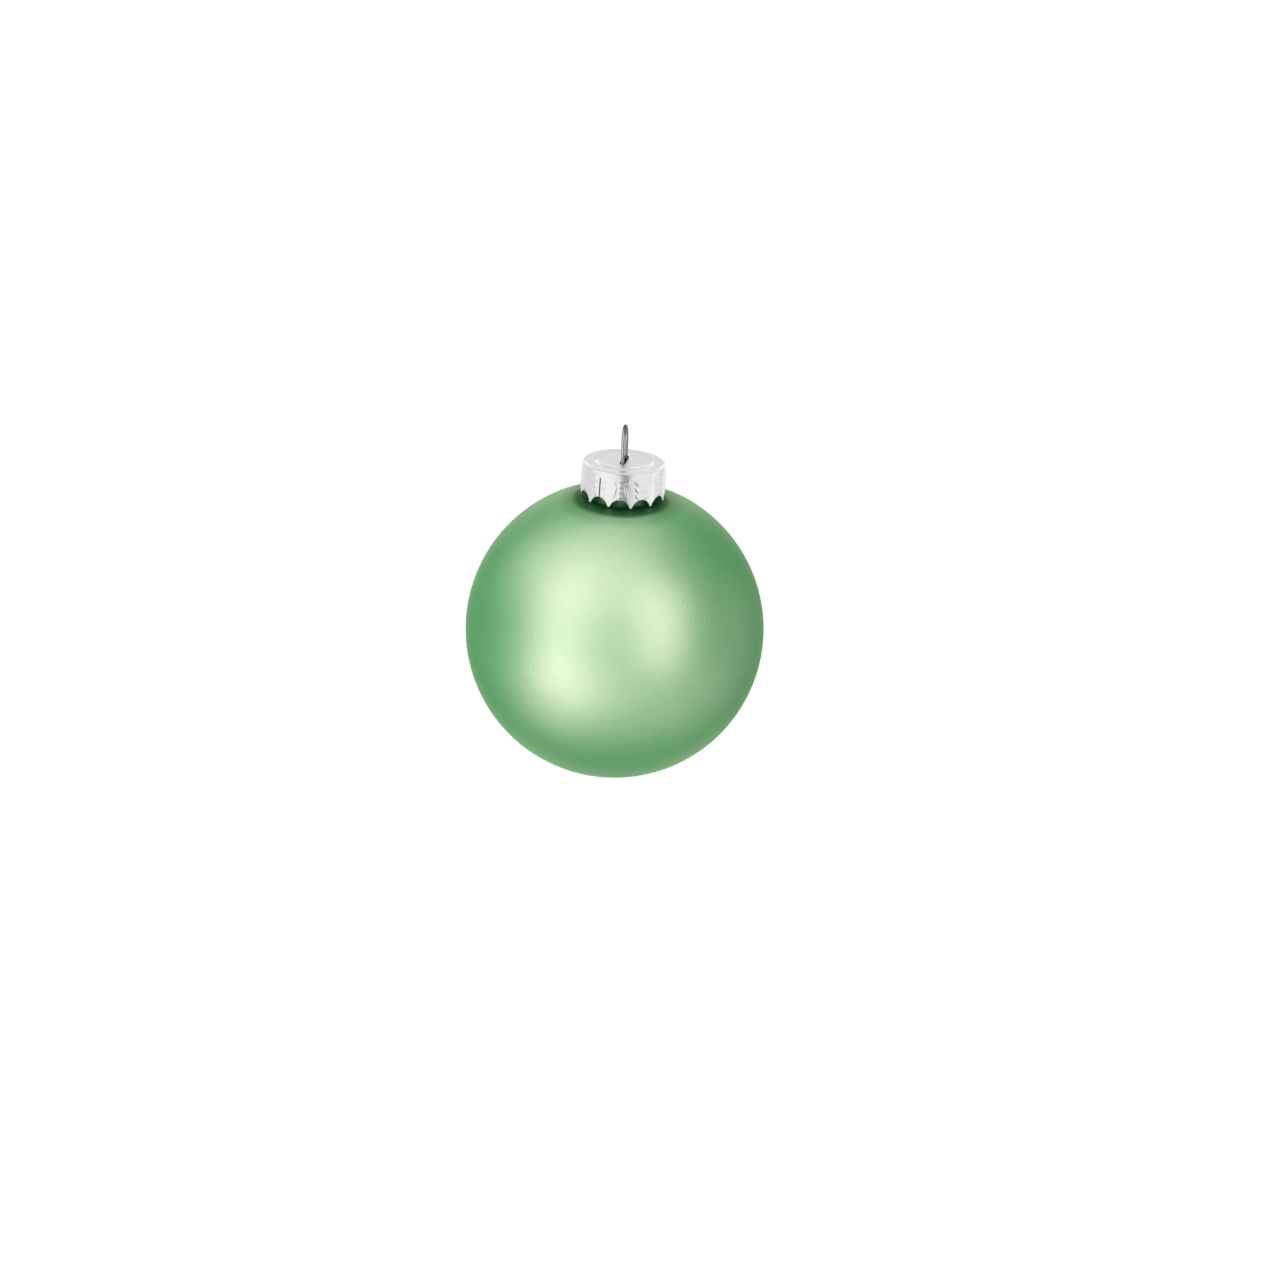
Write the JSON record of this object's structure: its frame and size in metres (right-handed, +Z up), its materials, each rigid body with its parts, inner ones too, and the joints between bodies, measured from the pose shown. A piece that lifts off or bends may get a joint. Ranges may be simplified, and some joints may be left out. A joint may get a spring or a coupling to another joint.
{
  "type": "glass ball ornament",
  "caption": "Hollow glass hanging ball with a satin green coat, a scalloped metal neck cap and a spring-wire hanger loop.",
  "frame": {"origin": "inside of the top of the hanger loop, where a hook or thread bears", "axes": "+Z up along the ornament's axis; the wire loop lies in the YZ plane, so a hook passes through it along X; -Y is the front"},
  "size_m": [0.067, 0.067, 0.0816],
  "materials": {
    "green_glass": "satin metallic green lacquer outside, silvered inside, opaque",
    "silver_cap": "bright stamped sheet",
    "steel_wire": "drawn spring wire"
  },
  "bodies": {
    "hanger": {"hanger_loop": "steel_wire"},
    "cap": {"cap": "silver_cap"},
    "ball": {"glass_ball": "green_glass"},
    "front_leg": {"front_spring_leg": "steel_wire"},
    "back_leg": {"back_spring_leg": "steel_wire"}
  },
  "joints": [
    {"name": "cap_tilt", "type": "hinge", "parent": "hanger", "child": "cap", "pos_m": [0, 0, -0.0074], "axis": [0, 1, 0], "range_deg": [-12, 12]},
    {"name": "ball_pull_off", "type": "slide", "parent": "cap", "child": "ball", "axis": [0, 0, -1], "range_m": [0, 0.024]},
    {"name": "front_leg_flex", "type": "hinge", "parent": "hanger", "child": "front_leg", "pos_m": [0, -0.0028, -0.008], "axis": [1, 0, 0], "range_deg": [0, 26]},
    {"name": "back_leg_flex", "type": "hinge", "parent": "hanger", "child": "back_leg", "pos_m": [0, 0.0028, -0.008], "axis": [1, 0, 0], "range_deg": [-26, 0]}
  ],
  "couplings": [
    {"joint": "front_leg_flex", "follows": "ball_pull_off", "rad_per_m": 17.453},
    {"joint": "back_leg_flex", "follows": "ball_pull_off", "rad_per_m": -17.453}
  ]
}
